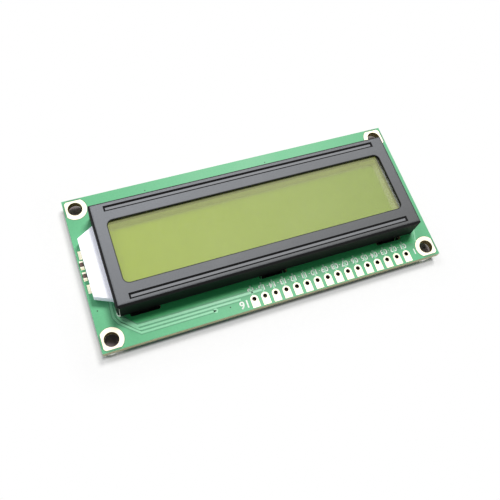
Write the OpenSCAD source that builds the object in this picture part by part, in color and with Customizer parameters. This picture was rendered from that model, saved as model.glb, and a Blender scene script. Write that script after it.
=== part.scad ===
// Character display module. A liquid-crystal cell lies on an edge-lit backlight,
// two conductive rubber strips join it to the circuit board, and a folded steel
// bezel clamps the stack, its tabs passed through slots in the board and twisted.
// Millimetres. X runs along the display, Y towards the header row, Z out of the
// display. The lowest points, the ends of the twisted tabs, lie on Z = 0.

/* [Circuit board] */
// Length of the board along X
board_w = 80; // [78:0.5:88]
// Width of the board along Y
board_d = 36; // [35.5:0.5:44]
// Thickness of the bare board
board_t = 1.6; // [1:0.1:2.4]
// Thickness of a plated pad on a face of the board
pad_t = 0.05; // [0.03:0.01:0.08]
// Thickness of the plating inside a hole
plating_t = 0.05; // [0.03:0.01:0.1]

/* [Mounting holes] */
// Open diameter of a plated mounting hole
mount_hole_d = 3.2; // [2.2:0.1:3.6]
// Distance from a mounting hole's centre to both board edges
mount_inset = 2.5; // [2.4:0.1:3]
// Width of the bare plated ring round a mounting hole
mount_ring = 1; // [0.4:0.1:1.3]
// Strip of board left between a plated ring and the board's edge
mount_edge_gap = 0.45; // [0.3:0.05:0.6]

/* [Header holes] */
// Number of header holes
header_count = 16; // [14:1:16]
// Distance between neighbouring header holes
header_pitch = 2.54; // [2.2:0.01:2.6]
// Open diameter of a header hole
header_hole_d = 1; // [0.7:0.05:1.2]
// Width of a header pad
header_pad_w = 1.75; // [1.5:0.05:1.95]
// Distance from the board's end to the first header hole
header_start = 8; // [7:0.1:9]
// Distance from the row of header holes to the board's edge
header_inset = 2.15; // [1.8:0.05:2.6]
// Strip of board left between a header pad and the board's edge
header_edge_gap = 0.2; // [0.1:0.05:0.5]

/* [Bezel] */
// Strip of board between the bezel and the board's end beside the lamp
lamp_end_margin = 4.9; // [4.4:0.1:5.6]
// Strip of board between the bezel and the board's other end
plain_end_margin = 4.1; // [3.5:0.1:5]
// Strip of board between the bezel and the board's edge along the header
header_side_margin = 6.7; // [6:0.1:7]
// Strip of board between the bezel and the board's far edge
far_side_margin = 5.3; // [5:0.1:6]
// Thickness of the bezel's sheet
sheet_t = 0.5; // [0.3:0.05:0.6]
// Outer radius of the bezel's bends
bend_r = 0.8; // [0.7:0.05:1]
// Radius of the bezel's upright corners
corner_r = 0.6; // [0.3:0.1:0.9]
// Open seam between a long wall and the end wall beside it
seam_gap = 0.12; // [0.05:0.01:0.2]

/* [Window] */
// Border of the bezel's face beside each end of the window
window_end_border = 3; // [2.6:0.1:5]
// Border of the bezel's face along each long side of the window
window_side_border = 4.7; // [4.3:0.1:6]
// Radius of the window's corners
window_r = 1.3; // [0.5:0.1:2]

/* [Pressed channels] */
// Distance from a channel's end to the bezel's end
channel_end = 3.1; // [2.6:0.1:10]
// Width of a channel at the bezel's top face
channel_w = 1.35; // [1.1:0.05:1.5]
// Width that a sloping flank of a channel takes up
channel_flank = 0.4; // [0.25:0.05:0.45]
// Distance from a channel's centre line to the bezel's long outer face
channel_inset = 1.8; // [1.7:0.05:1.95]
// Room between the front polarizer and the bezel
polarizer_room = 0.1; // [0.05:0.05:0.3]

/* [Bezel tabs] */
// Width of a tab
tab_w = 3.2; // [2:0.1:4]
// Distance from the centre of an outer tab to the bezel's end
tab_end = 6.3; // [4:0.1:10]
// How far a twisted tab stands below the board
tab_drop = 1.6; // [1.4:0.1:2.4]
// Length of the straight neck of a tab below the board
tab_neck = 0.2; // [0.1:0.05:0.5]
// Angle that a tab's end is twisted through
tab_twist = 32; // [15:1:45]
// Room between a tab and each end of its slot
slot_end_room = 1.7; // [0.3:0.1:2]
// Room between a tab and each side of its slot
slot_side_room = 0.7; // [0.3:0.05:0.8]

/* [Display cell] */
// Thickness of one sheet of glass
glass_t = 1.1; // [0.5:0.1:1.3]
// Room between the front glass and the bezel's walls
glass_room = 0.25; // [0.2:0.05:0.6]
// Thickness of the front polarizer
front_polarizer_t = 0.2; // [0.1:0.05:0.4]
// Thickness of the rear polarizer with its reflecting layer
rear_polarizer_t = 0.2; // [0.1:0.05:0.4]
// How far the polarizers reach past the window on each side
polarizer_lap = 0.9; // [0.4:0.1:1]
// Width of a conductive rubber strip
strip_w = 1.6; // [1.2:0.1:1.8]
// Room between a rubber strip and the parts beside it
strip_room = 0.3; // [0.1:0.05:0.5]
// Distance from each end of a rubber strip to the end of the front glass
strip_end = 2; // [1:0.5:6]

/* [Contact fingers] */
// Distance from each end of a rubber strip to the fingers under it
finger_end = 2.5; // [0.5:0.1:6]
// Distance between neighbouring fingers
finger_pitch = 1.3; // [1.1:0.05:1.35]
// Width of a finger
finger_w = 0.7; // [0.4:0.05:0.9]
// Length of a finger
finger_l = 1.5; // [1:0.1:2]
// Strip of board left between a finger and the tab slots
finger_gap = 0.15; // [0.05:0.05:0.3]

/* [Backlight] */
// Thickness of the light guide
guide_t = 2.6; // [2.2:0.1:3.6]
// Thickness of the white film under the light guide
reflector_t = 0.1; // [0.05:0.05:0.3]
// Thickness of the diffuser film on the light guide
diffuser_t = 0.1; // [0.05:0.05:0.3]
// Width of the light guide's outer end
ear_w = 13.6; // [12:0.2:16]
// Offset of the light guide's outer end along Y from the bezel's centre
ear_y = 0.3; // [-0.4:0.1:0.4]
// Distance from the light guide's outer end to the board's end
ear_edge = 1.25; // [1.2:0.05:1.6]
// Room between the light guide and the bezel's wall over it
ear_room = 0.2; // [0.1:0.05:0.5]
// Room between the light guide's end and the small parts below it
ear_lift = 0.1; // [0.05:0.05:0.3]

/* [Lamp] */
// Length of the lamp carrier
carrier_l = 9.6; // [9.2:0.1:10.6]
// Height of the lamp carrier
carrier_h = 1.3; // [1:0.1:1.4]
// Thickness of the lamp carrier
carrier_t = 0.4; // [0.2:0.05:0.5]
// Number of lamps on the carrier
lamp_count = 3; // [1:1:3]
// Distance between neighbouring lamps
lamp_pitch = 3; // [2:0.1:3.4]
// Length of a lamp
lamp_l = 1.6; // [1:0.1:1.8]
// Thickness of a lamp
lamp_t = 0.6; // [0.3:0.05:0.8]
// Wall of the light guide outside the lamp pocket
pocket_wall = 0.4; // [0.3:0.05:0.6]
// Room round the lamp carrier in its pocket
pocket_room = 0.1; // [0.05:0.01:0.2]
// Distance between the two lamp leads
lead_pitch = 8; // [7:0.1:8.4]
// Width of a lamp lead
lead_w = 0.8; // [0.5:0.05:1]
// Thickness of a lamp lead
lead_t = 0.2; // [0.1:0.05:0.3]
// How far a lead's foot reaches past the light guide's end
foot_reach = 0.25; // [0.1:0.05:0.4]
// Width of a lead's solder pad along Y
lead_pad_w = 2; // [1.2:0.1:2.4]
// How far a lead's solder pad reaches past the light guide's end
lead_pad_reach = 0.7; // [0.5:0.05:0.9]
// Length of a lead's solder pad along X
lead_pad_l = 2.2; // [1.6:0.1:3]

/* [Small parts] */
// Length of a lamp resistor
lamp_chip_l = 1.6; // [1:0.1:1.7]
// Width of a lamp resistor
lamp_chip_w = 0.8; // [0.5:0.05:0.85]
// Thickness of a lamp resistor
lamp_chip_t = 0.45; // [0.3:0.05:0.5]
// Distance between the two lamp resistors
lamp_chip_pitch = 2.65; // [2.5:0.05:2.8]
// Gap between the light guide's end and the lamp resistors
lamp_chip_gap = 0.15; // [0.05:0.05:0.3]
// Length of a resistor or capacitor on the back
back_chip_l = 2; // [1.6:0.1:2.4]
// Width of a resistor or capacitor on the back
back_chip_w = 1.25; // [0.8:0.05:1.4]
// Thickness of a resistor or capacitor on the back
back_chip_t = 0.55; // [0.4:0.05:0.9]
// Number of resistors in the row on the back
back_chip_count = 6; // [2:1:8]
// Distance between neighbouring resistors on the back
back_chip_pitch = 3.4; // [2.6:0.1:3.6]
// Length of a metal end cap as a share of a small part's length
chip_cap_share = 0.2; // [0.12:0.01:0.3]
// Gap between a sealed chip's drop and the capacitor beside it
capacitor_gap = 0.7; // [0.4:0.05:1]
// How far a solder pad reaches past a small part
chip_pad_reach = 0.25; // [0.1:0.05:0.35]

/* [Sealed chips] */
// Diameter of a sealed chip's black drop
drop_d = 15; // [10:0.5:17]
// Height of a sealed chip's black drop
drop_h = 1.2; // [0.8:0.1:1.3]
// Distance between the two drops
drop_pitch = 30; // [22:0.5:36]

/* [Hidden] */

$fn = 64;
eps = 0.01;            // overrun of a cut past the face that it opens
twist_slices = 6;      // steps in a tab's twisted end
slot_depth = board_t + 2 * eps;

// Levels of the board and of the stack on it, from the bottom up
board_back = tab_drop;
board_front = board_back + board_t;
guide_z = board_front + reflector_t;
diffuser_z = guide_z + guide_t;
rear_polarizer_z = diffuser_z + diffuser_t;
rear_glass_z = rear_polarizer_z + rear_polarizer_t;
front_glass_z = rear_glass_z + glass_t;
front_polarizer_z = front_glass_z + glass_t;
channel_depth = front_polarizer_t + polarizer_room;
bezel_top = front_polarizer_z + channel_depth + sheet_t;
bezel_h = bezel_top - board_front;

// The bezel keeps its margins to the board's edges
bezel_w = board_w - lamp_end_margin - plain_end_margin;
bezel_d = board_d - header_side_margin - far_side_margin;
bezel_x = (plain_end_margin - lamp_end_margin) / 2;
bezel_y = (far_side_margin - header_side_margin) / 2;
window_w = bezel_w - 2 * window_end_border;
window_d = bezel_d - 2 * window_side_border;
channel_l = bezel_w - 2 * channel_end;

// Channels press on the front glass above the rubber strips
channel_y = bezel_d / 2 - channel_inset;
strip_h = front_glass_z - board_front - pad_t;
inner_w = bezel_w - 2 * sheet_t;
inner_d = bezel_d - 2 * sheet_t;
front_glass_w = inner_w - 2 * glass_room;
front_glass_d = inner_d - 2 * glass_room;
stack_d = 2 * (channel_y - strip_w / 2 - strip_room);
strip_l = front_glass_w - 2 * strip_end;
polarizer_w = window_w + 2 * polarizer_lap;
polarizer_d = window_d + 2 * polarizer_lap;

// Tabs stand in line with the long walls. Their slots are centred on the board's length
tab_y = bezel_d / 2 - sheet_t / 2;
tab_pitch = bezel_w / 2 - tab_end;
slot_l = tab_w + 2 * slot_end_room;
slot_w = sheet_t + 2 * slot_side_room;
finger_y = tab_y - slot_w / 2 - finger_gap - finger_l / 2;
finger_count = floor((strip_l - 2 * finger_end) / finger_pitch);

// Outer end of the light guide, and the lamp pocket in it
ear_x = board_w / 2 - ear_edge - bezel_x;
guide_start = -inner_w / 2 + glass_room;
taper_x = inner_w / 2 - sheet_t;
ear_under = board_front + pad_t + max(lamp_chip_t, lead_t) + ear_lift;
pocket_x = ear_x - pocket_wall;
carrier_x = pocket_x - pocket_room - lead_t;
carrier_z = ear_under + ear_lift;
lead_y = [for (side = [-1, 1]) ear_y + side * lead_pitch / 2];
lamp_x = carrier_x - carrier_t;
pocket_l = carrier_l + 2 * pocket_room;
pocket_in = lamp_x - lamp_t - pocket_room;
foot_end = ear_x + foot_reach;

// Small parts
lamp_chip_x = ear_x + lamp_chip_gap + lamp_chip_w / 2;
lamp_chip_y = [for (side = [-1, 1]) side * lamp_chip_pitch / 2];
header_y = board_d / 2 - header_inset;
header_x = -board_w / 2 + header_start;
back_row_y = bezel_y + bezel_d / 2 - sheet_t - slot_side_room - back_chip_l;
back_capacitor_y = bezel_y - drop_d / 2 - capacitor_gap - back_chip_w / 2;

// A rectangle with round corners, centred on the origin
module round_rectangle(w, d, r) {
    square([w - 2 * r, d], center = true);
    square([w, d - 2 * r], center = true);
    for (x = [-1, 1], y = [-1, 1])
        translate([x * (w / 2 - r), y * (d / 2 - r)]) circle(r);
}

// Section of a folded box: w wide, h high, its two top corners bent to radius r
module bent_section(w, h, r) {
    translate([-w / 2, 0]) square([w, h - r]);
    translate([r - w / 2, 0]) square([w - 2 * r, h]);
    for (x = [-1, 1]) translate([x * (w / 2 - r), h - r]) circle(r);
}

// A box standing on Z = 0 whose four top edges are bent to radius r
module bent_box(w, d, h, r) {
    intersection() {
        translate([0, d, 0]) rotate([90, 0, 0]) linear_extrude(2 * d) bent_section(w, h, r);
        translate([-w, 0, 0]) rotate([90, 0, 90]) linear_extrude(2 * w) bent_section(d, h, r);
    }
}

// A trapezium hanging from Y = 0: top wide at the top, narrower by flank at each side
module trapezium(top, flank, depth) {
    polygon([[-top / 2, 0], [flank - top / 2, -depth], [top / 2 - flank, -depth], [top / 2, 0]]);
}

// A pressed form hanging from Z = 0 with four sloping flanks
module pressed_form(l, w, flank, depth) {
    intersection() {
        translate([0, w, 0]) rotate([90, 0, 0]) linear_extrude(2 * w) trapezium(l, flank, depth);
        translate([-l, 0, 0]) rotate([90, 0, 90]) linear_extrude(2 * l) trapezium(w, flank, depth);
    }
}

// Puts its children on the bezel's centre, above the board's centre
module on_bezel_centre(z) {
    translate([bezel_x, bezel_y, z]) children();
}

// One copy of its children at each tab, or with x = 0 at each slot
module at_tabs(x = bezel_x) {
    for (side = [-1, 1], i = [-1 : 1])
        translate([x + i * tab_pitch, bezel_y + side * tab_y, 0]) children();
}

// One copy of its children at each mounting hole, mirrored to face its own corner
module at_mounting_holes() {
    for (x = [0, 1], y = [0, 1]) mirror([x, 0, 0]) mirror([0, y, 0])
        translate([board_w / 2 - mount_inset, board_d / 2 - mount_inset, 0]) children();
}

module at_header_holes() {
    for (i = [0 : header_count - 1])
        translate([header_x + i * header_pitch, header_y, 0]) children();
}

module circuit_board() {
    color("seagreen")
    difference() {
        translate([0, 0, board_back + board_t / 2])
            cube([board_w, board_d, board_t], center = true);
        at_mounting_holes() translate([0, 0, board_back - eps])
            cylinder(r = mount_hole_d / 2 + plating_t, h = slot_depth);
        at_header_holes() translate([0, 0, board_back - eps])
            cylinder(r = header_hole_d / 2 + plating_t, h = slot_depth, $fn = 32);
        at_tabs(0) translate([0, 0, board_back - eps]) linear_extrude(slot_depth)
            round_rectangle(slot_l, slot_w, slot_w / 4);
    }
}

// A plated hole through the board: its barrel with a flange of the given outline on both faces
module plated_hole(d) {
    difference() {
        union() {
            translate([0, 0, board_back - pad_t]) linear_extrude(pad_t) children();
            translate([0, 0, board_back]) cylinder(r = d / 2 + plating_t, h = board_t);
            translate([0, 0, board_front]) linear_extrude(pad_t) children();
        }
        translate([0, 0, board_back - pad_t - eps])
            cylinder(r = d / 2, h = board_t + 2 * (pad_t + eps));
    }
}

module mounting_hole_pads() {
    ring_r = mount_hole_d / 2 + mount_ring;
    reach = mount_inset - mount_edge_gap;
    color("moccasin")
    at_mounting_holes() plated_hole(mount_hole_d) intersection() {
        circle(ring_r);
        translate([-ring_r, -ring_r]) square(ring_r + reach);
    }
}

module header_pads() {
    color("moccasin")
    at_header_holes() plated_hole(header_hole_d, $fn = 32) union() {
        circle(header_pad_w / 2);
        translate([-header_pad_w / 2, 0]) square([header_pad_w, header_inset - header_edge_gap]);
    }
}

module contact_fingers() {
    color("gold")
    for (side = [-1, 1], i = [0 : finger_count - 1])
        translate([bezel_x + (i - (finger_count - 1) / 2) * finger_pitch,
                bezel_y + side * finger_y, board_front + pad_t / 2])
            cube([finger_w, finger_l, pad_t], center = true);
}

// A conductive rubber strip, side 1 towards the header row and -1 away from it
module rubber_strip(side) {
    color("dimgray")
    on_bezel_centre(board_front + pad_t + strip_h / 2) translate([0, side * channel_y, 0])
        cube([strip_l, strip_w, strip_h], center = true);
}

module rubber_strip_header_side() {
    rubber_strip(1);
}

module rubber_strip_far_side() {
    rubber_strip(-1);
}

// Plan of the light guide: the body, and the tapered ear that runs out under the bezel's end
module guide_plan() {
    polygon([
        [guide_start, -stack_d / 2], [taper_x, -stack_d / 2],
        [ear_x, ear_y - ear_w / 2], [ear_x, ear_y + ear_w / 2],
        [taper_x, stack_d / 2], [guide_start, stack_d / 2]
    ]);
}

module reflector_film() {
    color("white")
    on_bezel_centre(board_front) linear_extrude(reflector_t)
        translate([guide_start, -stack_d / 2]) square([taper_x - guide_start, stack_d]);
}

module light_guide() {
    pocket_h = carrier_z + carrier_h + pocket_room - board_front;
    color("ghostwhite")
    difference() {
        on_bezel_centre(guide_z) linear_extrude(guide_t) guide_plan();
        on_bezel_centre(board_front) translate([bezel_w / 2, -bezel_d / 2, 0])
            cube([bezel_w, bezel_d, ear_under - board_front]);
        on_bezel_centre(board_front) translate([pocket_in, ear_y - pocket_l / 2, 0])
            cube([pocket_x - pocket_in, pocket_l, pocket_h]);
    }
}

module diffuser_film() {
    color("whitesmoke")
    on_bezel_centre(diffuser_z) linear_extrude(diffuser_t)
        translate([guide_start, -stack_d / 2]) square([taper_x - guide_start, stack_d]);
}

module rear_polarizer() {
    color("yellowgreen")
    on_bezel_centre(rear_polarizer_z + rear_polarizer_t / 2)
        cube([polarizer_w, polarizer_d, rear_polarizer_t], center = true);
}

module rear_glass() {
    color("lightcyan", 0.5)
    on_bezel_centre(rear_glass_z + glass_t / 2)
        cube([front_glass_w, stack_d, glass_t], center = true);
}

module front_glass() {
    color("lightcyan", 0.5)
    on_bezel_centre(front_glass_z + glass_t / 2)
        cube([front_glass_w, front_glass_d, glass_t], center = true);
}

module front_polarizer() {
    color("darkkhaki", 0.6)
    on_bezel_centre(front_polarizer_z + front_polarizer_t / 2)
        cube([polarizer_w, polarizer_d, front_polarizer_t], center = true);
}

// Plate and walls of the bezel, standing on Z = 0 about the origin, before its openings
module bezel_shell() {
    difference() {
        intersection() {
            bent_box(bezel_w, bezel_d, bezel_h, bend_r);
            linear_extrude(bezel_h) round_rectangle(bezel_w, bezel_d, corner_r);
        }
        translate([0, 0, -eps])
            bent_box(inner_w, inner_d, bezel_h - sheet_t + eps, bend_r - sheet_t);
    }
}

// Open seams where the folded walls meet at the four corners
module corner_seams() {
    for (x = [-1, 1], y = [-1, 1])
        translate([x * (bezel_w / 2 - sheet_t - seam_gap / 2) - seam_gap / 2,
                y * (bezel_d / 2 - sheet_t / 2) - sheet_t, -eps])
            cube([seam_gap, 2 * sheet_t, bezel_h - bend_r + eps]);
}

// Opening in the end wall that the light guide's ear passes through
module ear_notch() {
    opening_d = stack_d + 2 * ear_room;
    translate([inner_w / 2 - ear_room, -opening_d / 2, -eps])
        cube([2 * sheet_t, opening_d, diffuser_z - board_front + ear_room + eps]);
}

// A tab from the wall's foot down through the board, its end twisted
module bezel_tab() {
    translate([-tab_w / 2, -sheet_t / 2, board_back - tab_neck])
        cube([tab_w, sheet_t, board_t + tab_neck + eps]);
    translate([0, 0, board_back - tab_neck]) mirror([0, 0, 1])
        linear_extrude(tab_drop - tab_neck, twist = tab_twist, slices = twist_slices, segments = 8)
            square([tab_w, sheet_t], center = true);
}

module bezel() {
    ridge_flare = sheet_t / 2;
    color("dimgray")
    union() {
        on_bezel_centre(board_front) difference() {
            union() {
                bezel_shell();
                for (side = [-1, 1]) translate([0, side * channel_y, bezel_h - sheet_t])
                    pressed_form(channel_l + ridge_flare, channel_w + ridge_flare,
                        channel_flank, channel_depth);
            }
            translate([0, 0, bezel_h - 2 * sheet_t]) linear_extrude(3 * sheet_t)
                round_rectangle(window_w, window_d, window_r);
            for (side = [-1, 1]) translate([0, side * channel_y, bezel_h])
                pressed_form(channel_l, channel_w, channel_flank, channel_depth);
            corner_seams();
            ear_notch();
        }
        at_tabs() bezel_tab();
    }
}

module lamp_carrier() {
    color("khaki")
    on_bezel_centre(carrier_z) translate([carrier_x - carrier_t, ear_y - carrier_l / 2, 0])
        cube([carrier_t, carrier_l, carrier_h]);
}

module lamps() {
    color("lightyellow")
    on_bezel_centre(carrier_z) for (i = [0 : lamp_count - 1])
        translate([lamp_x - lamp_t, ear_y + (i - (lamp_count - 1) / 2) * lamp_pitch - lamp_l / 2, 0])
            cube([lamp_t, lamp_l, carrier_h]);
}

// Flat leads that run from the carrier down to their pads, each with a foot turned outwards
module lamp_leads() {
    foot_z = board_front + pad_t;
    color("silver")
    for (y = lead_y) on_bezel_centre(0) translate([carrier_x, y - lead_w / 2, 0]) {
        translate([0, 0, foot_z]) cube([lead_t, lead_w, carrier_z + carrier_h - foot_z]);
        translate([0, 0, foot_z]) cube([foot_end - carrier_x, lead_w, lead_t]);
    }
}

module lamp_lead_pads() {
    color("moccasin")
    for (y = lead_y) on_bezel_centre(board_front)
        translate([ear_x + lead_pad_reach - lead_pad_l, y - lead_pad_w / 2, 0])
            cube([lead_pad_l, lead_pad_w, pad_t]);
}

// One copy of its children at each lamp resistor, standing on the front pads
module at_lamp_chips() {
    for (y = lamp_chip_y) on_bezel_centre(board_front) translate([lamp_chip_x, y, 0]) children();
}

// One copy of its children at each resistor on the back, hanging from the back of the board
module at_back_chips() {
    for (i = [0 : back_chip_count - 1])
        translate([bezel_x + (i - (back_chip_count - 1) / 2) * back_chip_pitch, back_row_y, board_back])
            mirror([0, 0, 1]) children();
}

module at_back_capacitors() {
    for (x = [-1, 1]) translate([bezel_x + x * drop_pitch / 2, back_capacitor_y, board_back])
        mirror([0, 0, 1]) rotate([0, 0, 90]) children();
}

// The two solder pads of a small part of length l along Y and width w
module chip_pads(l, w) {
    cap = l * chip_cap_share;
    for (side = [-1, 1])
        translate([0, side * (l - cap + chip_pad_reach) / 2, pad_t / 2])
            cube([w, cap + chip_pad_reach, pad_t], center = true);
}

// The ceramic body of a small part, between its end caps
module chip_body(l, w, t) {
    translate([0, 0, pad_t + t / 2]) cube([w, l * (1 - 2 * chip_cap_share), t], center = true);
}

module chip_caps(l, w, t) {
    cap = l * chip_cap_share;
    for (side = [-1, 1])
        translate([0, side * (l - cap) / 2, pad_t + t / 2]) cube([w, cap, t], center = true);
}

module small_part_pads() {
    color("moccasin") {
        at_lamp_chips() chip_pads(lamp_chip_l, lamp_chip_w);
        at_back_chips() chip_pads(back_chip_l, back_chip_w);
        at_back_capacitors() chip_pads(back_chip_l, back_chip_w);
    }
}

module lamp_resistors() {
    color("saddlebrown") at_lamp_chips() chip_body(lamp_chip_l, lamp_chip_w, lamp_chip_t);
}

module lamp_resistor_caps() {
    color("silver") at_lamp_chips() chip_caps(lamp_chip_l, lamp_chip_w, lamp_chip_t);
}

module back_resistors() {
    color("black") at_back_chips() chip_body(back_chip_l, back_chip_w, back_chip_t);
}

module back_resistor_caps() {
    color("silver") at_back_chips() chip_caps(back_chip_l, back_chip_w, back_chip_t);
}

module back_capacitors() {
    color("tan") at_back_capacitors() chip_body(back_chip_l, back_chip_w, back_chip_t);
}

module back_capacitor_caps() {
    color("silver") at_back_capacitors() chip_caps(back_chip_l, back_chip_w, back_chip_t);
}

// A shallow drop of black resin over a chip, side 1 for the driver and -1 for the controller
module chip_drop(side) {
    dome_r = (drop_d * drop_d / 4 + drop_h * drop_h) / (2 * drop_h);
    color("#202020")
    translate([bezel_x + side * drop_pitch / 2, bezel_y, board_back]) mirror([0, 0, 1])
        rotate_extrude() intersection() {
            translate([0, drop_h - dome_r]) circle(dome_r, $fn = 128);
            square([drop_d, drop_h]);
        }
}

module controller_chip_drop() {
    chip_drop(-1);
}

module driver_chip_drop() {
    chip_drop(1);
}

circuit_board();
mounting_hole_pads();
header_pads();
contact_fingers();
rubber_strip_header_side();
rubber_strip_far_side();
reflector_film();
light_guide();
diffuser_film();
rear_polarizer();
rear_glass();
front_glass();
front_polarizer();
bezel();
lamp_carrier();
lamps();
lamp_leads();
lamp_lead_pads();
small_part_pads();
lamp_resistors();
lamp_resistor_caps();
back_resistors();
back_resistor_caps();
back_capacitors();
back_capacitor_caps();
controller_chip_drop();
driver_chip_drop();
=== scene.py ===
"""Looks of the character display module: materials, print, tracks, solder, floor, light and camera."""

import math

import bmesh
import bpy
from mathutils import Matrix, Vector

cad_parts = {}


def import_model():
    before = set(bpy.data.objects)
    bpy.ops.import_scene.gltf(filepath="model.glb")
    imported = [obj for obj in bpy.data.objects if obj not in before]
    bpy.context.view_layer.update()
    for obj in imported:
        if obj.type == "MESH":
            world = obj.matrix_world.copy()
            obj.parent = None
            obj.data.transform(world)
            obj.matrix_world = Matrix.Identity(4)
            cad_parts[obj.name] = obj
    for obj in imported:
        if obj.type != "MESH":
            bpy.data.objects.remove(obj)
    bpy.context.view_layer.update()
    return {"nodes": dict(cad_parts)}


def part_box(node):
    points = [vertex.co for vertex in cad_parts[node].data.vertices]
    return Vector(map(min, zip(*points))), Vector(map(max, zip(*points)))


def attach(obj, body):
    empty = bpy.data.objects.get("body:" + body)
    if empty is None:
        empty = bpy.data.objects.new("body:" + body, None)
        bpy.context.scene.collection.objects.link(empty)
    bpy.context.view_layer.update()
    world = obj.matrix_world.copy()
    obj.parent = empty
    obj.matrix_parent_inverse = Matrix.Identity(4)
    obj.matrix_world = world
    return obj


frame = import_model()
MM = 0.001

# ---------------------------------------------------------------- places from the solids
BOARD_LO, BOARD_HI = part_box("circuit_board")
BEZEL_LO, BEZEL_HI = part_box("bezel")
HEADER_LO, HEADER_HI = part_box("header_pads")
EAR_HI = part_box("light_guide")[1]
LEAD_PADS_LO, LEAD_PADS_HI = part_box("lamp_lead_pads")
FRONT, BACK = BOARD_HI.z, BOARD_LO.z
HEADER_COUNT = 16
PAD_W = 1.75 * MM
PITCH = (HEADER_HI.x - HEADER_LO.x - PAD_W) / (HEADER_COUNT - 1)
PAD_X = [(HEADER_LO.x + PAD_W / 2 + i * PITCH) / MM for i in range(HEADER_COUNT)]  # in millimetres
HOLE_X, HOLE_Y, HOLE_PAD_R = 37.5 * MM, 15.5 * MM, 2.5 * MM
WINDOW_W, WINDOW_D, WINDOW_R = 65 * MM, 14.6 * MM, 1.3 * MM
WINDOW_X, WINDOW_Y = (BEZEL_LO.x + BEZEL_HI.x) / 2, (BEZEL_LO.y + BEZEL_HI.y) / 2
WALL_Y = WINDOW_Y + 12 * MM  # the bezel's near wall; the tabs' twisted ends reach further
CORNERS = ((-1, -1), (1, -1), (1, 1), (-1, 1))
INK_T = 0.004 * MM  # how thick the print is, and how far it lies above the mask


# ---------------------------------------------------------------- materials
def linear(r, g, b):
    """Display colour, 0 to 255, as a linear colour."""
    values = [v / 255 for v in (r, g, b)]
    return [v / 12.92 if v <= 0.04045 else ((v + 0.055) / 1.055) ** 2.4 for v in values] + [1.0]


class Surface:
    """A material built from nodes round one Principled shader."""

    def __init__(self, name, **sockets):
        self.mat = bpy.data.materials.new(name)
        self.mat.use_nodes = True
        self.tree = self.mat.node_tree
        self.shader = self.tree.nodes["Principled BSDF"]
        self.out = self.tree.nodes["Material Output"]
        self.place = self.node("ShaderNodeTexCoord").outputs["Object"]
        for socket, value in sockets.items():
            self.shader.inputs[socket.replace("_", " ")].default_value = value

    def node(self, kind, **values):
        made = self.tree.nodes.new(kind)
        for key, value in values.items():
            if hasattr(made, key):
                setattr(made, key, value)
            else:
                made.inputs[key].default_value = value
        return made

    def link(self, a, b):
        self.tree.links.new(a, b)

    def noise(self, scale, detail=3.0, rough=0.55, stretch=None):
        made = self.node("ShaderNodeTexNoise", Scale=scale, Detail=detail, Roughness=rough)
        source = self.place
        if stretch:
            mapping = self.node("ShaderNodeMapping")
            mapping.inputs["Scale"].default_value = stretch
            self.link(source, mapping.inputs["Vector"])
            source = mapping.outputs["Vector"]
        self.link(source, made.inputs["Vector"])
        return made.outputs["Fac"]

    def span(self, value, low, high, to_low, to_high, smooth=False):
        made = self.node("ShaderNodeMapRange")
        made.interpolation_type = "SMOOTHSTEP" if smooth else "LINEAR"
        for name, number in (
            ("From Min", low),
            ("From Max", high),
            ("To Min", to_low),
            ("To Max", to_high),
        ):
            made.inputs[name].default_value = number
        self.link(value, made.inputs["Value"])
        return made.outputs["Result"]

    def math(self, operation, a, b=None):
        made = self.node("ShaderNodeMath", operation=operation)
        for slot, value in enumerate((a, b)):
            if value is None:
                continue
            if isinstance(value, (int, float)):
                made.inputs[slot].default_value = value
            else:
                self.link(value, made.inputs[slot])
        return made.outputs["Value"]

    def product(self, values):
        total, *rest = values
        for value in rest:
            total = self.math("MULTIPLY", total, value)
        return total

    def distance(self, a, b):
        """How far a point is from the origin, from its two coordinates."""
        return self.math("SQRT", self.math("ADD", self.math("POWER", a, 2), self.math("POWER", b, 2)))

    def outside(self, value, centre, half):
        """How far a coordinate lies outside the range of centre +- half, or 0 within it."""
        from_centre = self.math("ABSOLUTE", self.math("SUBTRACT", value, centre))
        return self.math("MAXIMUM", self.math("SUBTRACT", from_centre, half), 0)

    def mix(self, factor, a, b):
        made = self.node("ShaderNodeMix", data_type="RGBA")
        self.link(factor, made.inputs["Factor"])
        for socket, value in (("A", a), ("B", b)):
            target = [s for s in made.inputs if s.name == socket and s.type == "RGBA"][0]
            if isinstance(value, (list, tuple)):
                target.default_value = value
            else:
                self.link(value, target)
        return [s for s in made.outputs if s.type == "RGBA"][0]

    def axis(self, name):
        made = self.node("ShaderNodeSeparateXYZ")
        self.link(self.place, made.inputs["Vector"])
        return made.outputs[name]

    def facing(self, name):
        """How far the surface faces along an axis, 0 to 1, on either side."""
        geometry = self.node("ShaderNodeNewGeometry")
        made = self.node("ShaderNodeSeparateXYZ")
        self.link(geometry.outputs["True Normal"], made.inputs["Vector"])
        return self.math("ABSOLUTE", made.outputs[name])

    def colour(self, value):
        self.link(value, self.shader.inputs["Base Color"])

    def roughness(self, value):
        self.link(value, self.shader.inputs["Roughness"])

    def bump(self, height, depth, strength=1.0, previous=None):
        made = self.node("ShaderNodeBump", Strength=strength, Distance=depth)
        self.link(height, made.inputs["Height"])
        if previous:
            self.link(previous, made.inputs["Normal"])
        self.link(made.outputs["Normal"], self.shader.inputs["Normal"])
        return made.outputs["Normal"]


def plain(name, dark, light, scale, rough, depth, grain=None, **sockets):
    """A surface whose colour, roughness and relief vary at the given scale. The depth is in metres."""
    s = Surface(name, **sockets)
    field = s.noise(scale)
    s.colour(s.mix(s.span(field, 0.3, 0.7, 0, 1), linear(*dark), linear(*light)))
    s.roughness(s.span(s.noise(scale * 0.6, 2.0), 0.3, 0.7, rough[0], rough[1]))
    s.bump(s.noise(grain or scale * 3, 4.0), depth)
    return s.mat


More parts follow.
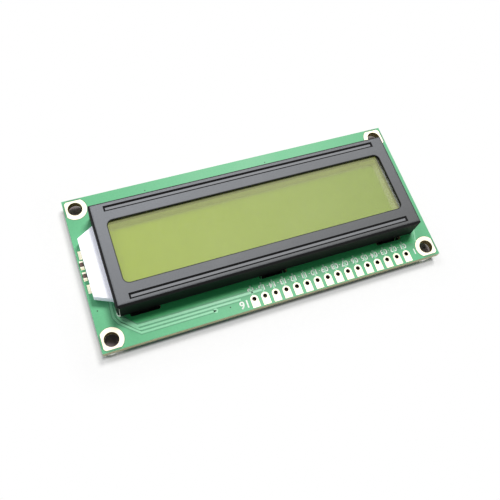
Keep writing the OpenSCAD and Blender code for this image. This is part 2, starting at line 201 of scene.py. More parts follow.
def solder_mask():
    """Green mask over glass-fibre board. The cut edges show the bare laminate."""
    s = Surface("solder_mask", IOR=1.5, Specular_IOR_Level=0.36)
    cloud = s.noise(90, 2.0)
    fine = s.noise(2600, 3.0)
    body = s.mix(s.span(cloud, 0.35, 0.65, 0, 1), linear(84, 176, 122), linear(93, 184, 130))
    body = s.mix(s.span(fine, 0.3, 0.7, 0, 0.35), body, linear(72, 163, 112))
    # no copper lies under the mask round the row of header numbers, so it is darker green there; along
    # the bezel's near wall, where its shadow falls, the mask is painted a bright deep green, painted
    # light that lifts and tints that shadow
    x, y = s.axis("X"), s.axis("Y")
    field = s.product(
        s.span(value, low, high, a, b)
        for value, low, high, a, b in (
            (x, -35.4 * MM, -34.6 * MM, 0, 1),
            (x, 33.3 * MM, 34.0 * MM, 1, 0),
            (s.axis("Z"), FRONT - 0.3 * MM, FRONT - 0.2 * MM, 0, 1),
            (y, 6 * MM, 9 * MM, 0, 1),
        )
    )
    # painted light: the bright band inside the near wall's shadow
    near = s.math("MULTIPLY", field, s.span(y, 13.3 * MM, 13.95 * MM, 0.75, 0, True))
    row = s.math("MULTIPLY", field, s.span(y, 13.6 * MM, 16.6 * MM, 0.42, 0, True))
    body = s.mix(row, body, linear(20, 112, 58))
    body = s.mix(near, body, linear(34, 196, 104))
    # a thin dark line of clear laminate rings each mounting pad
    from_hole = [
        s.math("SUBTRACT", s.math("ABSOLUTE", value), centre)
        for value, centre in ((x, HOLE_X), (y, HOLE_Y))
    ]
    ring = s.span(s.distance(*from_hole), HOLE_PAD_R + 0.2 * MM, HOLE_PAD_R + 0.3 * MM, 0.6, 0)
    body = s.mix(ring, body, linear(66, 118, 84))
    layers = s.noise(900, 3.0, 0.6, (0.15, 0.15, 9.0))
    laminate = s.mix(s.span(layers, 0.35, 0.65, 0, 1), linear(182, 182, 130), linear(208, 206, 160))
    s.colour(s.mix(s.span(s.facing("Z"), 0.4, 0.6, 1, 0), body, laminate))
    s.roughness(s.span(cloud, 0.3, 0.7, 0.4, 0.47))
    threads = []
    for direction in ("X", "Y"):
        wave = s.node("ShaderNodeTexWave", Scale=330.0, Distortion=1.2, bands_direction=direction)
        s.link(s.place, wave.inputs["Vector"])
        threads.append(wave.outputs["Fac"])
    weave = s.bump(s.product(threads), 2.2e-6, 0.6)
    s.bump(fine, 1.2e-6, 0.6, weave)
    return s.mat


def track_mask():
    """The same mask where copper lies under it: paler and smoother."""
    s = Surface("track_mask", IOR=1.5, Specular_IOR_Level=0.5)
    field = s.noise(700, 3.0)
    s.colour(s.mix(s.span(field, 0.3, 0.7, 0, 1), linear(114, 196, 146), linear(124, 204, 154)))
    s.roughness(s.span(field, 0.3, 0.7, 0.36, 0.42))
    s.bump(s.noise(2600, 3.0), 0.8e-6)
    return s.mat


def plating(name, bore_shade):
    """Pale gold plating with a slightly uneven solder-levelled face; its bore is painted darker, as
    painted shade inside the hole.
    """
    s = Surface(name, Metallic=0.2, IOR=1.5)
    field = s.noise(700, 3.0)
    face = s.mix(s.span(field, 0.3, 0.7, 0, 1), linear(248, 236, 206), linear(253, 244, 220))
    s.colour(s.mix(s.span(s.facing("Z"), 0.3, 0.6, 0, 1), linear(*bore_shade), face))
    s.roughness(s.span(s.noise(1500, 2.0), 0.3, 0.7, 0.44, 0.54))
    s.bump(s.noise(1800, 3.0), 5e-6, 0.7)
    return s.mat


def bezel_paint():
    """Satin black paint on pressed steel: fine grain, faint smears, and flats painted light grey as a
    painted reflection of the key lamp, mottled by the grain.
    """
    s = Surface("bezel_paint", IOR=1.5, Specular_IOR_Level=0.15)
    grain = s.noise(5200, 4.0, 0.6)
    cloud = s.noise(120, 3.0)
    body = s.mix(s.span(cloud, 0.35, 0.7, 0, 1), linear(10, 10, 11), linear(15, 15, 16))
    # the painted reflection is brighter towards the lamp end and the far side, where the key lamp
    # mirrors most strongly, and on the floors of the channels
    x, y = s.axis("X"), s.axis("Y")
    along, across = s.span(x, -35 * MM, 35 * MM, 0.1, 0.65), s.span(y, -12 * MM, 11 * MM, -0.35, 0.1)
    spread = s.math("SUBTRACT", along, across)
    low = s.mix(spread, linear(88, 89, 90), linear(126, 129, 134))
    high = s.mix(spread, linear(102, 103, 104), linear(144, 147, 152))
    painted_sheen = s.mix(s.span(grain, 0.35, 0.75, 0, 1), low, high)
    sunk = s.span(s.axis("Z"), BEZEL_HI.z - 0.2 * MM, BEZEL_HI.z - 0.1 * MM, 0.55, 0)
    painted_sheen = s.mix(sunk, painted_sheen, linear(142, 144, 148))
    # the painted reflection lies on the flats only, and stops just short of the window's rounded cut
    # edge
    past = [
        s.outside(value, centre, size / 2 - WINDOW_R)
        for value, centre, size in ((x, WINDOW_X, WINDOW_W), (y, WINDOW_Y, WINDOW_D))
    ]
    short_of_edge = s.span(s.distance(*past), WINDOW_R + 0.08 * MM, WINDOW_R + 0.24 * MM, 0, 1, True)
    flat = s.span(s.facing("Z"), 0.86, 0.98, 0, 1, True)
    s.colour(s.mix(s.math("MULTIPLY", flat, short_of_edge), body, painted_sheen))
    smear = s.noise(260, 4.0, 0.7, (0.35, 2.2, 1.0))
    smooth = s.span(smear, 0.55, 0.75, 0, 0.05)
    s.roughness(s.math("SUBTRACT", s.span(cloud, 0.3, 0.7, 0.5, 0.56), smooth))
    orange_peel = s.bump(grain, 1.6e-6, 0.55)
    s.bump(s.noise(900, 2.0), 2.5e-6, 0.35, orange_peel)
    return s.mat


def clear(name, tint, gloss_rough, ior, haze=0.0):
    """A clear sheet: lets light straight through, mirrors a little by Fresnel, and may be hazy."""
    s = Surface(name)
    s.tree.nodes.remove(s.shader)
    through = s.node("ShaderNodeBsdfTransparent", Color=linear(*tint))
    gloss = s.node("ShaderNodeBsdfGlossy", Color=[1, 1, 1, 1])
    rough = s.span(s.noise(60, 3.0), 0.3, 0.7, gloss_rough * 0.92, gloss_rough * 1.08)
    s.link(rough, gloss.inputs["Roughness"])
    ripple = s.node("ShaderNodeBump", Strength=0.3, Distance=0.5e-6)
    s.link(s.noise(2400, 3.0), ripple.inputs["Height"])
    s.link(ripple.outputs["Normal"], gloss.inputs["Normal"])
    # the inner side of a face doesn't mirror, or a low view would find total reflection in the sheet
    fresnel = s.node("ShaderNodeFresnel", IOR=ior)
    outer_side = s.math("SUBTRACT", 1, s.node("ShaderNodeNewGeometry").outputs["Backfacing"])
    both = s.node("ShaderNodeMixShader")
    s.link(s.math("MULTIPLY", fresnel.outputs["Fac"], outer_side), both.inputs["Fac"])
    s.link(through.outputs["BSDF"], both.inputs[1])
    if haze:
        veil = s.node("ShaderNodeBsdfDiffuse", Color=linear(214, 212, 200))
        milky = s.node("ShaderNodeMixShader", Fac=haze)
        s.link(through.outputs["BSDF"], milky.inputs[1])
        s.link(veil.outputs["BSDF"], milky.inputs[2])
        s.link(milky.outputs["Shader"], both.inputs[1])
    s.link(gloss.outputs["BSDF"], both.inputs[2])
    s.link(both.outputs["Shader"], s.out.inputs["Surface"])
    return s.mat


def display_back():
    """Rear polarizer with its reflecting layer: yellow-green, with a pearly grain and a rim painted
    dark as painted shade under the bezel's edge.
    """
    s = Surface("display_back", Roughness=0.6, Specular_IOR_Level=0.2, Emission_Strength=0.3)
    # the emission is painted light: a faint glow on a layer that gives no light of its own
    s.shader.inputs["Emission Color"].default_value = linear(212, 214, 104)
    x, y = s.axis("X"), s.axis("Y")
    body = s.mix(s.span(x, -34 * MM, 34 * MM, 0, 1), linear(112, 142, 0), linear(168, 188, 28))
    grain = s.noise(3200, 4.0)
    body = s.mix(s.span(grain, 0.35, 0.65, 0, 0.16), body, linear(128, 150, 8))
    # painted light: beside the window's far and plain-end edges, where the bezel's shadow falls, the
    # layer is painted pale grey, standing in for light scattered there
    far, end = WINDOW_Y - WINDOW_D / 2, WINDOW_X - WINDOW_W / 2
    far_side = s.span(y, far + 0.2 * MM, far + 1.5 * MM, 1, 0, True)
    plain_end = s.span(x, end + 0.1 * MM, end + 1.2 * MM, 1, 0, True)
    scatter_grey = s.math("MULTIPLY", s.math("MAXIMUM", far_side, plain_end), 0.85)
    body = s.mix(scatter_grey, body, linear(232, 234, 228))
    lo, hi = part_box("rear_polarizer")
    # painted shade: a dark rim round the layer, seen under the bezel's edge
    inside = []
    for value, low, high in ((x, lo.x, hi.x), (y, lo.y, hi.y)):
        inside.append(s.span(value, low + 0.3 * MM, low + 0.55 * MM, 0, 1, True))
        inside.append(s.span(value, high - 0.55 * MM, high - 0.3 * MM, 1, 0, True))
    s.colour(s.mix(s.product(inside), linear(24, 26, 20), body))
    s.bump(grain, 1e-6)
    return s.mat


def light_guide():
    """Milky plastic. A little emission stands in for the light that it scatters inside."""
    s = Surface("milky_plastic", Subsurface_Weight=0.35, Subsurface_Scale=0.0025, IOR=1.49)
    s.shader.inputs["Emission Strength"].default_value = 0.3
    s.shader.inputs["Emission Color"].default_value = linear(222, 224, 246)
    s.shader.inputs["Subsurface Radius"].default_value = (1.0, 1.0, 1.15)
    field = s.noise(180, 3.0)
    s.colour(s.mix(s.span(field, 0.35, 0.65, 0, 1), linear(240, 241, 249), linear(247, 248, 254)))
    s.roughness(s.span(field, 0.3, 0.7, 0.3, 0.4))
    s.bump(s.noise(2500, 3.0), 0.8e-6)
    return s.mat


MATS = {
    "mask": solder_mask(),
    "track": track_mask(),
    # the bore colours are painted shade inside the holes, darkest in the narrow header holes
    "plating": plating("plating", (126, 110, 60)),
    "pin_plating": plating("pin_plating", (64, 46, 36)),
    "paint": bezel_paint(),
    "guide": light_guide(),
    "display": display_back(),
    "glass": clear("cell_glass", (251, 254, 251), 0.5, 1.05),
    "film": clear("front_film", (251, 252, 248), 0.5, 1.22, 0.085),
    "print": plain("white_print", (226, 232, 224), (244, 247, 241), 1800, (0.55, 0.65), 2e-6),
    # dark discs at the vias: painted shade standing in for their open holes
    "hole": plain("drilled_hole", (16, 26, 20), (34, 44, 34), 2500, (0.6, 0.7), 2e-6),
    "tin": plain(
        "tinned_ends", (196, 198, 200), (226, 227, 228), 1800, (0.3, 0.42), 3e-6, Metallic=0.85
    ),
    # the emission of these two stands in for light from all round
    "pad_solder": plain(
        "pad_solder",
        (240, 232, 204),
        (252, 247, 226),
        1400,
        (0.4, 0.5),
        4e-6,
        Emission_Strength=0.4,
        Emission_Color=linear(246, 240, 214),
    ),
    # a painted glint at the bezel's corner
    "glint": plain(
        "glint_steel",
        (206, 210, 206),
        (238, 240, 236),
        2000,
        (0.3, 0.4),
        2e-6,
        Emission_Strength=0.35,
        Emission_Color=linear(240, 242, 238),
    ),
    "gap": plain("track_gap", (62, 142, 98), (72, 152, 108), 1800, (0.42, 0.48), 1e-6),
    "resistor": plain("resistor_glaze", (58, 34, 28), (92, 56, 44), 1500, (0.25, 0.4), 2e-6),
    "black_chip": plain("black_glaze", (18, 18, 20), (34, 34, 36), 1500, (0.25, 0.4), 2e-6),
    "capacitor": plain("capacitor_ceramic", (150, 120, 88), (176, 146, 110), 1500, (0.35, 0.5), 2e-6),
    "resin": plain("black_resin", (12, 12, 13), (24, 24, 26), 260, (0.24, 0.38), 2.5e-5, 420),
    "rubber": plain("grey_rubber", (92, 92, 96), (120, 120, 124), 900, (0.7, 0.8), 4e-6),
    "white_film": plain("white_film", (236, 238, 240), (248, 249, 250), 600, (0.45, 0.55), 1e-6),
    "carrier": plain("lamp_carrier", (214, 206, 160), (232, 226, 186), 900, (0.45, 0.55), 2e-6),
    "lamp": plain("lamp_resin", (240, 222, 120), (250, 236, 150), 900, (0.2, 0.3), 1e-6),
}

LOOK = {
    "circuit_board": "mask",
    "mounting_hole_pads": "plating",
    "header_pads": "pin_plating",
    "contact_fingers": "plating",
    "rubber_strip_header_side": "rubber",
    "rubber_strip_far_side": "rubber",
    "reflector_film": "white_film",
    "light_guide": "guide",
    "diffuser_film": "white_film",
    "rear_polarizer": "display",
    "rear_glass": "glass",
    "front_glass": "glass",
    "front_polarizer": "film",
    "bezel": "paint",
    "lamp_carrier": "carrier",
    "lamps": "lamp",
    "lamp_leads": "tin",
    "lamp_lead_pads": "pad_solder",
    "small_part_pads": "pad_solder",
    "lamp_resistors": "resistor",
    "lamp_resistor_caps": "pad_solder",
    "back_resistors": "black_chip",
    "back_resistor_caps": "tin",
    "back_capacitors": "capacitor",
    "back_capacitor_caps": "tin",
    "controller_chip_drop": "resin",
    "driver_chip_drop": "resin",
}
for node_name, look in LOOK.items():
    mesh = frame["nodes"][node_name].data
    mesh.materials.clear()
    mesh.materials.append(MATS[look])
for node_name in ("front_polarizer", "front_glass", "rear_glass"):
    frame["nodes"][node_name].visible_shadow = False


# A press, a saw or a mould leaves sharp edges a little round. Widths are in millimetres
EDGES = {
    "circuit_board": 0.06,
    "light_guide": 0.12,
    "lamp_resistors": 0.06,
    "lamp_resistor_caps": 0.06,
    "back_resistors": 0.06,
    "back_resistor_caps": 0.06,
    "back_capacitors": 0.08,
    "back_capacitor_caps": 0.08,
    "header_pads": 0.03,
    "mounting_hole_pads": 0.03,
    "bezel": 0.07,
}
for node_name, width in EDGES.items():
    edge = frame["nodes"][node_name].modifiers.new("edge", "BEVEL")
    edge.width = width * MM
    edge.segments = 2
    edge.limit_method = "ANGLE"
    edge.angle_limit = math.radians(32)
    edge.harden_normals = False
    edge.use_clamp_overlap = True


# ---------------------------------------------------------------- pieces of the scene
def mesh_object(name, bm, material):
    """Turns a bmesh into a mesh object of the scene."""
    mesh = bpy.data.meshes.new(name)
    bm.normal_update()
    bm.to_mesh(mesh)
    bm.free()
    mesh.materials.append(material)
    made = bpy.data.objects.new(name, mesh)
    bpy.context.scene.collection.objects.link(made)
    return made


def piece(name, bm, look, smooth=False):
    """Turns a bmesh into a piece that rides on the part."""
    made = mesh_object(name, bm, MATS[look])
    if smooth:
        for polygon in made.data.polygons:
            polygon.use_smooth = True
    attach(made, "root")


def ribbon(bm, points, width, z, rise):
    """A raised track with sloping sides along a line. Points and width are in millimetres."""
    line = [Vector((x, y)) * MM for x, y in points]
    w, shoulder = width * MM / 2, 0.06 * MM
    rows = []
    for i, p in enumerate(line):
        before = (p - line[i - 1]).normalized() if i else None
        after = (line[i + 1] - p).normalized() if i + 1 < len(line) else None
        a, b = before or after, after or before
        normal_a, normal_b = Vector((-a.y, a.x)), Vector((-b.y, b.x))
        mitre = (normal_a + normal_b).normalized()
        mitre /= max(0.35, mitre.dot(normal_a))
        rows.append(
            [
                bm.verts.new((*(p + mitre * offset), z + h))
                for offset, h in ((w, 0), (w - shoulder, rise), (shoulder - w, rise), (-w, 0))
            ]
        )
    for r, s in zip(rows, rows[1:]):
        for k in range(3):
            bm.faces.new((r[k], r[k + 1], s[k + 1], s[k]))
    for row in (rows[0], rows[-1]):
        bm.faces.new(row)
    bmesh.ops.recalc_face_normals(bm, faces=bm.faces)


def disc(bm, x, y, outer, inner, z, rise, sides=24):
    """A low ring, or a disc where inner is 0. Its place and radii are in millimetres."""
    slope, pinhole = 0.04, 0.001
    turns = [math.tau * k / sides for k in range(sides)]
    rings = []
    for radius, h in ((outer, 0), (outer - slope, rise), (max(inner, pinhole), rise)):
        rim = [(x + radius * math.cos(t), y + radius * math.sin(t)) for t in turns]
        rings.append([bm.verts.new((px * MM, py * MM, z + h)) for px, py in rim])
    for a, b in zip(rings, rings[1:]):
        for k in range(sides):
            bm.faces.new((a[k], a[(k + 1) % sides], b[(k + 1) % sides], b[k]))


def words(name, marks):
    """Printed marks as one thin mesh: a list of (text, x, y, height), in millimetres."""
    size_per_height = 1.38  # the font's size over the height of its figures
    merged = bmesh.new()
    for text, x, y, height in marks:
        curve = bpy.data.curves.new("mark", "FONT")
        curve.body = text
        curve.align_x = "CENTER"
        curve.align_y = "CENTER"
        curve.size = height * size_per_height * MM
        curve.extrude = INK_T / 2
        curve.offset = 0.03 * height * MM
        curve.resolution_u = 3
        maker = bpy.data.objects.new("mark", curve)
        bpy.context.scene.collection.objects.link(maker)
        maker.location = (x * MM, y * MM, FRONT + INK_T)
        bpy.context.view_layer.update()
        evaluated = maker.evaluated_get(bpy.context.evaluated_depsgraph_get())
        mesh = bpy.data.meshes.new_from_object(evaluated)
        mesh.transform(maker.matrix_world)
        merged.from_mesh(mesh)
        bpy.data.objects.remove(maker)
        bpy.data.meshes.remove(mesh)
        bpy.data.curves.remove(curve)
    piece(name, merged, "print")


def bar(bm, x, y, length, width):
    """A thin printed bar along X round a point. All are in millimetres."""
    corners = [(x + a * length / 2, y + b * width / 2) for a, b in CORNERS]
    bottom = [bm.verts.new((cx * MM, cy * MM, FRONT + INK_T)) for cx, cy in corners]
    top = [bm.verts.new((v.co.x, v.co.y, v.co.z + INK_T)) for v in bottom]
    bm.faces.new(top)
    for k in range(4):
        bm.faces.new((bottom[k], bottom[(k + 1) % 4], top[(k + 1) % 4], top[k]))


def blob(bm, x0, x1, y0, y1, z, height):
    """A heap of solder over a rectangle, highest at its middle. All but z are in millimetres."""
    power, cells = 2.6, 12
    rows = []
    for i in range(cells + 1):
        x = x0 + (x1 - x0) * i / cells
        row = []
        for j in range(cells + 1):
            y = y0 + (y1 - y0) * j / cells
            u, v = 2 * i / cells - 1, 2 * j / cells - 1
            h = height * (1 - abs(u) ** power) * (1 - abs(v) ** power)
            row.append(bm.verts.new((x * MM, y * MM, z + h * MM)))
        rows.append(row)
    for i in range(cells):
        for j in range(cells):
            bm.faces.new((rows[i][j], rows[i + 1][j], rows[i + 1][j + 1], rows[i][j + 1]))


# Tracks under the mask of the front. The long ones lie in a slightly wider gap in the copper
TRACK_RISE, HOLE_RISE = 0.035 * MM, 0.003 * MM
GAP_MARGIN = 0.36  # how much wider the gap is than its track
STUB_W = 0.45
LARGE_VIA_R, VIA_R, VIA_BORE_R = 0.55, 0.4, 0.16
FRONT_HOLE_R, BACK_HOLE_R = 0.13, 0.14
LONG_TRACKS = (
    (0.5, [(35.75, 7.0), (35.9, 11.1), (35.2, 12.5), (31.3, 15.95), (15.0, 15.95)]),
    (0.5, [(35.0, 9.0), (35.0, 11.4), (34.4, 12.4), (31.4, 15.15), (9.0, 15.15)]),
    (0.6, [(34.2, 9.0), (34.2, 11.7), (31.8, 14.3), (3.6, 14.3)]),
)
tracks, gaps = bmesh.new(), bmesh.new()
for width, points in LONG_TRACKS:
    ribbon(tracks, points, width, FRONT, TRACK_RISE)
    ribbon(gaps, points, width + GAP_MARGIN, FRONT, 0.3 * TRACK_RISE)
piece("track_gaps_front", gaps, "gap")
ribbon(tracks, [(-36.6, 10.4), (-35.6, 13.6)], 0.5, FRONT, TRACK_RISE)
disc(tracks, 15.0, 15.95, LARGE_VIA_R, VIA_BORE_R, FRONT, TRACK_RISE)
for x in PAD_X:
    ribbon(tracks, [(x, 14.9), (x, 12.6)], STUB_W, FRONT, TRACK_RISE)
piece("tracks_front", tracks, "track")

# flat dark discs at the vias, painted shade for the holes
vias = bmesh.new()
for x, y in ((15.0, 15.95), (11.75, 16.17), (38.7, 8.75), (21.5, -16.0), (-8.0, -15.9)):
    disc(vias, x, y, FRONT_HOLE_R, 0, FRONT + TRACK_RISE, HOLE_RISE, 16)
piece("via_holes_front", vias, "hole")

# Tracks and vias of the back: header to controller drop, header to resistors, drop to drop
CONTROLLER_LO, CONTROLLER_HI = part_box("controller_chip_drop")
DRIVER_LO, DRIVER_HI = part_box("driver_chip_drop")
DROP_R = (CONTROLLER_HI.x - CONTROLLER_LO.x) / 2 / MM
DROP_Y = (CONTROLLER_HI.y + CONTROLLER_LO.y) / 2 / MM
CONTROLLER_X = (CONTROLLER_HI.x + CONTROLLER_LO.x) / 2 / MM
DRIVER_X = (DRIVER_HI.x + DRIVER_LO.x) / 2 / MM
PAD_END, TURN_Y = 15.2, 12.3  # where tracks leave the header pads, and where the data tracks turn
UNDER_DROP = 0.4  # how far a track runs in under a resin drop
DATA_TRACKS, DATA_PITCH = 7, 1.9
LINK_TRACKS, LINK_PITCH = 9, 1.1
RESISTOR_PITCH, RESISTOR_Y, RESISTOR_VIA_Y = 3.4, 7.3, 6.0
LOWER_ARC, UPPER_ARC = range(200, 341, 10), range(60, 131, 10)  # degrees round a drop
SHORT_FAN, LONG_FAN = 1.7, 2.5  # how far the fanned tracks run out past a drop, by turns
BACK_TRACK_W = 0.3
RESISTOR_PATHS = (
    [(0, 11.6), (-2.3, 9.3)],
    [(0, 10.8), (-1.4, 9.4)],
    [(0, 13.2), (-1.2, 12.0), (-1.2, 10.1), (-0.6, 9.4)],
    [(0, 13.7), (1.5, 12.2), (1.5, 10.6), (0.3, 9.4)],
    [(0, 10.5), (1.1, 9.4)],
    [(0, 11.4), (2.0, 9.4)],
)
back, back_vias = bmesh.new(), bmesh.new()


def back_via(x, y):
    disc(back, x, y, VIA_R, VIA_BORE_R, BACK, -TRACK_RISE, 16)
    disc(back_vias, x, y, BACK_HOLE_R, 0, BACK - TRACK_RISE, -HOLE_RISE, 12)


a, b, c = PAD_X[:3]
routes = [
    [(a, PAD_END), (a, 14.4), (a - 1.6, 12.8), (a - 1.6, 1.6), (-30.4, -1.6), (-22.7, -1.6)],
    [(b, PAD_END), (b, 13.6), (b - 2.5, 11.1), (b - 2.5, 3.0), (-28.6, -0.4), (-22.7, -0.4)],
    [(c + 0.1, PAD_END), (c + 0.1, 7.5), (-21.8, 2.5)],
]
for k, x in enumerate(PAD_X[3 : 3 + DATA_TRACKS]):
    offset = (k - (DATA_TRACKS - 1) / 2) * DATA_PITCH
    column = CONTROLLER_X + offset
    end = DROP_Y + math.sqrt(DROP_R**2 - offset**2) - UNDER_DROP
    routes.append([(x, PAD_END), (x, TURN_Y), (column, TURN_Y - abs(column - x)), (column, end)])
for x, path in zip(PAD_X[3 + DATA_TRACKS :], RESISTOR_PATHS):
    routes.append([(x, PAD_END)] + [(x + dx, y) for dx, y in path])
for k in range(LINK_TRACKS):
    offset = (k - (LINK_TRACKS - 1) / 2) * LINK_PITCH
    reach = math.sqrt(DROP_R**2 - offset**2) - UNDER_DROP
    y = DROP_Y + offset
    routes.append([(CONTROLLER_X + reach, y), (DRIVER_X - reach, y)])
for k in range(len(RESISTOR_PATHS)):
    x = WINDOW_X / MM + (k - (len(RESISTOR_PATHS) - 1) / 2) * RESISTOR_PITCH
    routes.append([(x, RESISTOR_Y), (x, RESISTOR_VIA_Y)])
    back_via(x, RESISTOR_VIA_Y)
for centre, turns in ((CONTROLLER_X, [*LOWER_ARC]), (DRIVER_X, [*LOWER_ARC, *UPPER_ARC])):
    for degrees in turns:
        if 252 < degrees < 288:  # the capacitors lie there
            continue
        cos, sin = math.cos(math.radians(degrees)), math.sin(math.radians(degrees))
        near, far = DROP_R - UNDER_DROP, DROP_R + (SHORT_FAN if degrees % 20 else LONG_FAN)
        start, end = ((centre + r * cos, DROP_Y + r * sin) for r in (near, far))
        routes.append([start, end])
        back_via(*end)
for points in routes:
    ribbon(back, points, BACK_TRACK_W, BACK, -TRACK_RISE)
piece("tracks_back", back, "track")
piece("via_holes_back", back_vias, "hole")

# A printed ring round each drop, a little higher than the tracks that it crosses
RING_OUT, RING_IN, RING_RISE = DROP_R + 0.55, DROP_R + 0.38, 0.042 * MM
rings = bmesh.new()
for centre in (CONTROLLER_X, DRIVER_X):
    disc(rings, centre, DROP_Y, RING_OUT, RING_IN, BACK, -RING_RISE, 64)
piece("drop_outlines_back", rings, "print")

# White print of the front: a number beside each header hole, larger ones at the row's ends
NUMBER_Y, NUMBER_H = 13.8, 1.25
END_NUMBERS = ((str(HEADER_COUNT), 8.5, 16.4, 1.75), ("1", -34.3, 15.75, 1.35))
numbers = [(f"{i:02d}", x, NUMBER_Y, NUMBER_H) for i, x in enumerate(PAD_X, 1)]
words("header_numbers", [*numbers, *END_NUMBERS])

# Short printed lines between the numbers
LINE_Y, LINE_L, LINE_W = 13.81, 0.34, 0.1
lines = bmesh.new()
for left, right in zip(PAD_X, PAD_X[1:]):
    bar(lines, (left + right) / 2, LINE_Y, LINE_L, LINE_W)
piece("printed_lines", lines, "print")

# Solder on the lamp's two feet
LEAD_PAD_D, SOLDER_H = 2.0, 0.3
SOLDER_MARGIN, OUTER_MARGIN, UNDER_EAR = 0.15, 0.05, 0.2
joints = bmesh.new()
x0, x1 = EAR_HI.x / MM - UNDER_EAR, LEAD_PADS_HI.x / MM - OUTER_MARGIN
for y in (LEAD_PADS_LO.y / MM, LEAD_PADS_HI.y / MM - LEAD_PAD_D):
    y0, y1 = y + SOLDER_MARGIN, y + LEAD_PAD_D - SOLDER_MARGIN
    blob(joints, x0, x1, y0, y1, LEAD_PADS_HI.z, SOLDER_H)
piece("lamp_feet_solder", joints, "pad_solder", smooth=True)

# A painted glint at the bezel's upright corner: pale steel-coloured strips that glow, between two
# turns and two heights over the board
CORNER_R, GLINT_LIFT, STEPS = 0.6 * MM, 0.012 * MM, 6
GLINT_STRIPS = ((-5, 30, 0.05, 1.75), (30, 94, 0.05, 0.85), (81, 86, 0.85, 5.0))
glint = bmesh.new()
for turn0, turn1, z0, z1 in GLINT_STRIPS:
    columns = []
    for k in range(STEPS + 1):
        turn = math.radians(turn0 + (turn1 - turn0) * k / STEPS)
        x = BEZEL_HI.x - CORNER_R + (CORNER_R + GLINT_LIFT) * math.cos(turn)
        y = WALL_Y - CORNER_R + (CORNER_R + GLINT_LIFT) * math.sin(turn)
        columns.append([glint.verts.new((x, y, FRONT + z * MM)) for z in (z0, z1)])
    for a, b in zip(columns, columns[1:]):
        glint.faces.new((a[0], b[0], b[1], a[1]))
piece("corner_glint", glint, "glint")


# ---------------------------------------------------------------- floor, light and camera
def floor():
    """Pale floor: plain lit paper close to the board, with painted shade under it, and pure white to
    the eye farther off.
    """
    half, below = 1.2, 0.02 * MM
    bm = bmesh.new()
    bm.faces.new([bm.verts.new((a * half, b * half, 0)) for a, b in CORNERS])
    s = Surface("floor_paper", Roughness=0.9, Specular_IOR_Level=0.1)
    x, y = s.axis("X"), s.axis("Y")
    near, far = 0.5 * MM, 8 * MM
    away = s.distance(s.outside(x, 0, BOARD_HI.x), s.outside(y, 0, BOARD_HI.y))
    white = s.math("ADD", s.span(away, 0, near, 0, 0.5), s.span(away, near, far, 0, 0.5))
    # painted shade: spots of darker paper in the gap, where the camera looks down into it through the
    # mounting holes
    shade_spots, spot_r, spot_edge = None, 1.5 * MM, 0.18 * MM
    for spot_x in (-38.46 * MM, 37.5 * MM):
        for spot_y in (15.08 * MM, -16.33 * MM):
            reach = s.distance(s.math("SUBTRACT", x, spot_x), s.math("SUBTRACT", y, spot_y))
            spot = s.span(reach, spot_r, spot_r + spot_edge, 1, 0, True)
            shade_spots = spot if shade_spots is None else s.math("MAXIMUM", shade_spots, spot)
    white = s.math("MULTIPLY", white, s.math("SUBTRACT", 1, shade_spots))
    fibres = s.span(s.noise(700, 3.0), 0.3, 0.7, 0, 1)
    paper = s.mix(fibres, linear(242, 242, 242), linear(247, 247, 247))
    # painted shade: the middle of the gap is painted dark too, where hardly any light reaches
    inward = s.math(
        "MINIMUM",
        s.math("SUBTRACT", BOARD_HI.x, s.math("ABSOLUTE", x)),
        s.math("SUBTRACT", BOARD_HI.y, s.math("ABSOLUTE", y)),
    )
    paper = s.mix(s.span(inward, 2.0 * MM, 4.5 * MM, 0, 1, True), paper, linear(84, 82, 80))
    spot_shade = s.mix(s.span(x, -1 * MM, 1 * MM, 0, 1), linear(128, 118, 118), linear(122, 112, 114))
    s.colour(s.mix(shade_spots, paper, spot_shade))
    glow = s.node("ShaderNodeEmission", Color=[1, 1, 1, 1], Strength=1.0)
    path = s.node("ShaderNodeLightPath")
    mirrored = s.math("MAXIMUM", path.outputs["Is Glossy Ray"], path.outputs["Is Transmission Ray"])
    seen = s.math("MULTIPLY", s.math("MAXIMUM", path.outputs["Is Camera Ray"], mirrored), white)
    both = s.node("ShaderNodeMixShader")
    s.link(seen, both.inputs["Fac"])
    s.link(s.shader.outputs["BSDF"], both.inputs[1])
    s.link(glow.outputs["Emission"], both.inputs[2])
    s.link(both.outputs["Shader"], s.out.inputs["Surface"])
    made = mesh_object("floor", bm, s.mat)
    made.location.z = BEZEL_LO.z - below


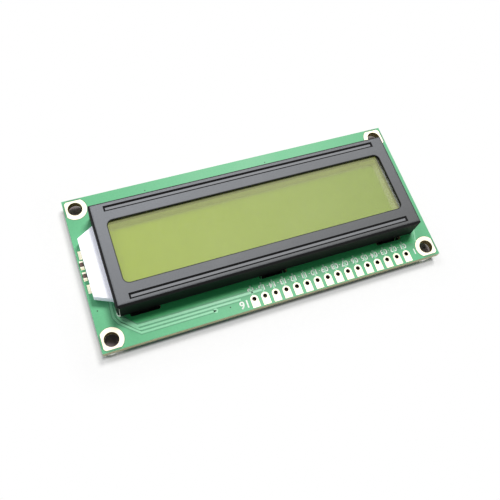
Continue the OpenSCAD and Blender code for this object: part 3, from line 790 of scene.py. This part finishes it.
def world():
    """A soft fill light that looks plain white to the eye and in reflections."""
    made = bpy.data.worlds.new("studio")
    bpy.context.scene.world = made
    made.use_nodes = True
    tree = made.node_tree
    fill = tree.nodes["Background"]
    fill.inputs["Color"].default_value = (0.93, 0.96, 1.0, 1)
    fill.inputs["Strength"].default_value = 0.11
    white = tree.nodes.new("ShaderNodeBackground")
    white.inputs["Color"].default_value = (1, 1, 1, 1)
    white.inputs["Strength"].default_value = 1.0
    path = tree.nodes.new("ShaderNodeLightPath")
    both = tree.nodes.new("ShaderNodeMixShader")
    seen = path.outputs["Is Camera Ray"]
    for kind in ("Is Glossy Ray", "Is Transmission Ray"):
        either = tree.nodes.new("ShaderNodeMath")
        either.operation = "MAXIMUM"
        tree.links.new(seen, either.inputs[0])
        tree.links.new(path.outputs[kind], either.inputs[1])
        seen = either.outputs["Value"]
    tree.links.new(seen, both.inputs["Fac"])
    tree.links.new(fill.outputs["Background"], both.inputs[1])
    tree.links.new(white.outputs["Background"], both.inputs[2])
    tree.links.new(both.outputs["Shader"], tree.nodes["World Output"].inputs["Surface"])


def softbox(name, direction, distance, size, level, colour=(1, 1, 1)):
    """A rectangular lamp that gives a face turned to it the stated share of white."""
    lamp = bpy.data.lights.new(name, "AREA")
    lamp.shape = "RECTANGLE"
    lamp.size, lamp.size_y = size
    # a lamp of power P gives P / (pi * distance^2), and a white face sends back that over pi
    lamp.energy = level * math.pi**2 * distance**2
    lamp.color = colour
    made = bpy.data.objects.new(name, lamp)
    bpy.context.scene.collection.objects.link(made)
    towards = Vector(direction).normalized()
    made.location = towards * distance
    made.rotation_euler = (-towards).to_track_quat("-Z", "Y").to_euler()


def camera():
    """The photo's viewing angle, from a fit to the board's corners and holes."""
    azimuth, elevation, roll = (math.radians(v) for v in (141.93, 65.43, 20.11))
    target, distance = Vector((3.114 * MM, 4.664 * MM, FRONT)), 141.97 * MM
    back = Vector(
        (
            math.sin(azimuth) * math.cos(elevation),
            -math.cos(azimuth) * math.cos(elevation),
            math.sin(elevation),
        )
    )
    right = Vector((0, 0, 1)).cross(back).normalized()
    up = back.cross(right)
    cos, sin = math.cos(roll), math.sin(roll)
    right, up = right * cos + up * sin, up * cos - right * sin
    lens = bpy.data.cameras.new("camera")
    lens.lens = 45.42
    lens.sensor_width = 36
    lens.clip_start = 0.005
    made = bpy.data.objects.new("camera", lens)
    bpy.context.scene.collection.objects.link(made)
    place = target + back * distance
    rows = [(*axes, offset) for *axes, offset in zip(right, up, back, place)]
    made.matrix_world = Matrix([*rows, (0, 0, 0, 1)])
    bpy.context.scene.camera = made


floor()
world()
softbox("key", (-0.27, -0.36, 0.9), 0.75, (0.21, 0.18), 0.85, (1.0, 0.99, 0.98))
softbox("overhead", (0.45, -0.5, 0.9), 0.9, (0.4, 0.4), 0.3)
camera()
bpy.context.scene.view_settings.view_transform = "Standard"
